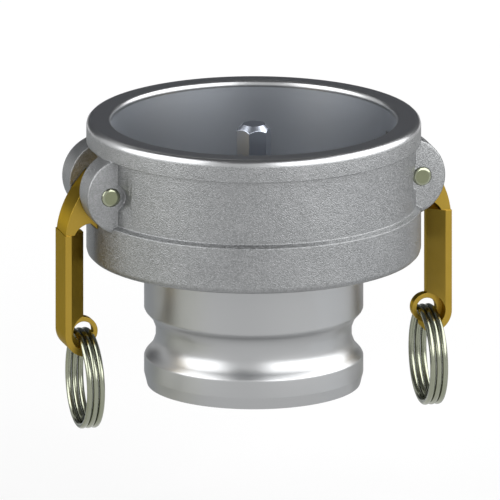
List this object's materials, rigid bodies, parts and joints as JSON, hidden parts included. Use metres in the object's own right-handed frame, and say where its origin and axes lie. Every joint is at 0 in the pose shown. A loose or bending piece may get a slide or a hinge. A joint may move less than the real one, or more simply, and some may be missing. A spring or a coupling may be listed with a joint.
{
  "type": "probe coupler",
  "caption": "Cam-lever hose coupler with a fixed hex probe in its socket and a grooved male adapter below; two brass arms with pull rings lock it on.",
  "frame": {"origin": "centre of the grooved adapter's end face, on the coupler's axis", "axes": "+Z along the axis from the adapter towards the socket mouth, +X towards one of the cam arms"},
  "size_m": [0.1672, 0.14, 0.1285],
  "materials": {
    "cast_aluminium": "fine sand-cast skin on the body, turned bright on the adapter, rim and bore",
    "gasket_rubber": "moulded black rubber, satin",
    "probe_steel": "drawn hex bar with a turned tip",
    "fastener_steel": "plain bright steel",
    "arm_brass": "cast and tumbled brass, softly polished",
    "pin_steel": "zinc and clear passivate with a faint green-grey cast",
    "ring_steel": "bright drawn wire, coiled"
  },
  "bodies": {
    "body": {"coupler_body": "cast_aluminium", "socket_gasket": "gasket_rubber", "probe": "probe_steel", "probe_lock_washer": "fastener_steel", "probe_nut": "fastener_steel", "pivot_pin_right": "pin_steel", "pivot_pin_left": "pin_steel"},
    "arm_right": {"cam_arm_right": "arm_brass"},
    "arm_left": {"cam_arm_left": "arm_brass"},
    "ring_right": {"pull_ring_right": "ring_steel"},
    "ring_left": {"pull_ring_left": "ring_steel"}
  },
  "joints": [
    {"name": "arm_right_hinge", "type": "hinge", "parent": "body", "child": "arm_right", "pos_m": [0.0673, 0, 0.08955], "axis": [0, -1, 0], "range_deg": [0, 105]},
    {"name": "arm_left_hinge", "type": "hinge", "parent": "body", "child": "arm_left", "pos_m": [-0.0673, 0, 0.08955], "axis": [0, 1, 0], "range_deg": [0, 105]},
    {"name": "ring_right_hinge", "type": "hinge", "parent": "arm_right", "child": "ring_right", "pos_m": [0.07424, 0, 0.0274], "axis": [0, -1, 0], "range_deg": [-30, 120]},
    {"name": "ring_left_hinge", "type": "hinge", "parent": "arm_left", "child": "ring_left", "pos_m": [-0.07424, 0, 0.0274], "axis": [0, 1, 0], "range_deg": [-30, 120]}
  ]
}
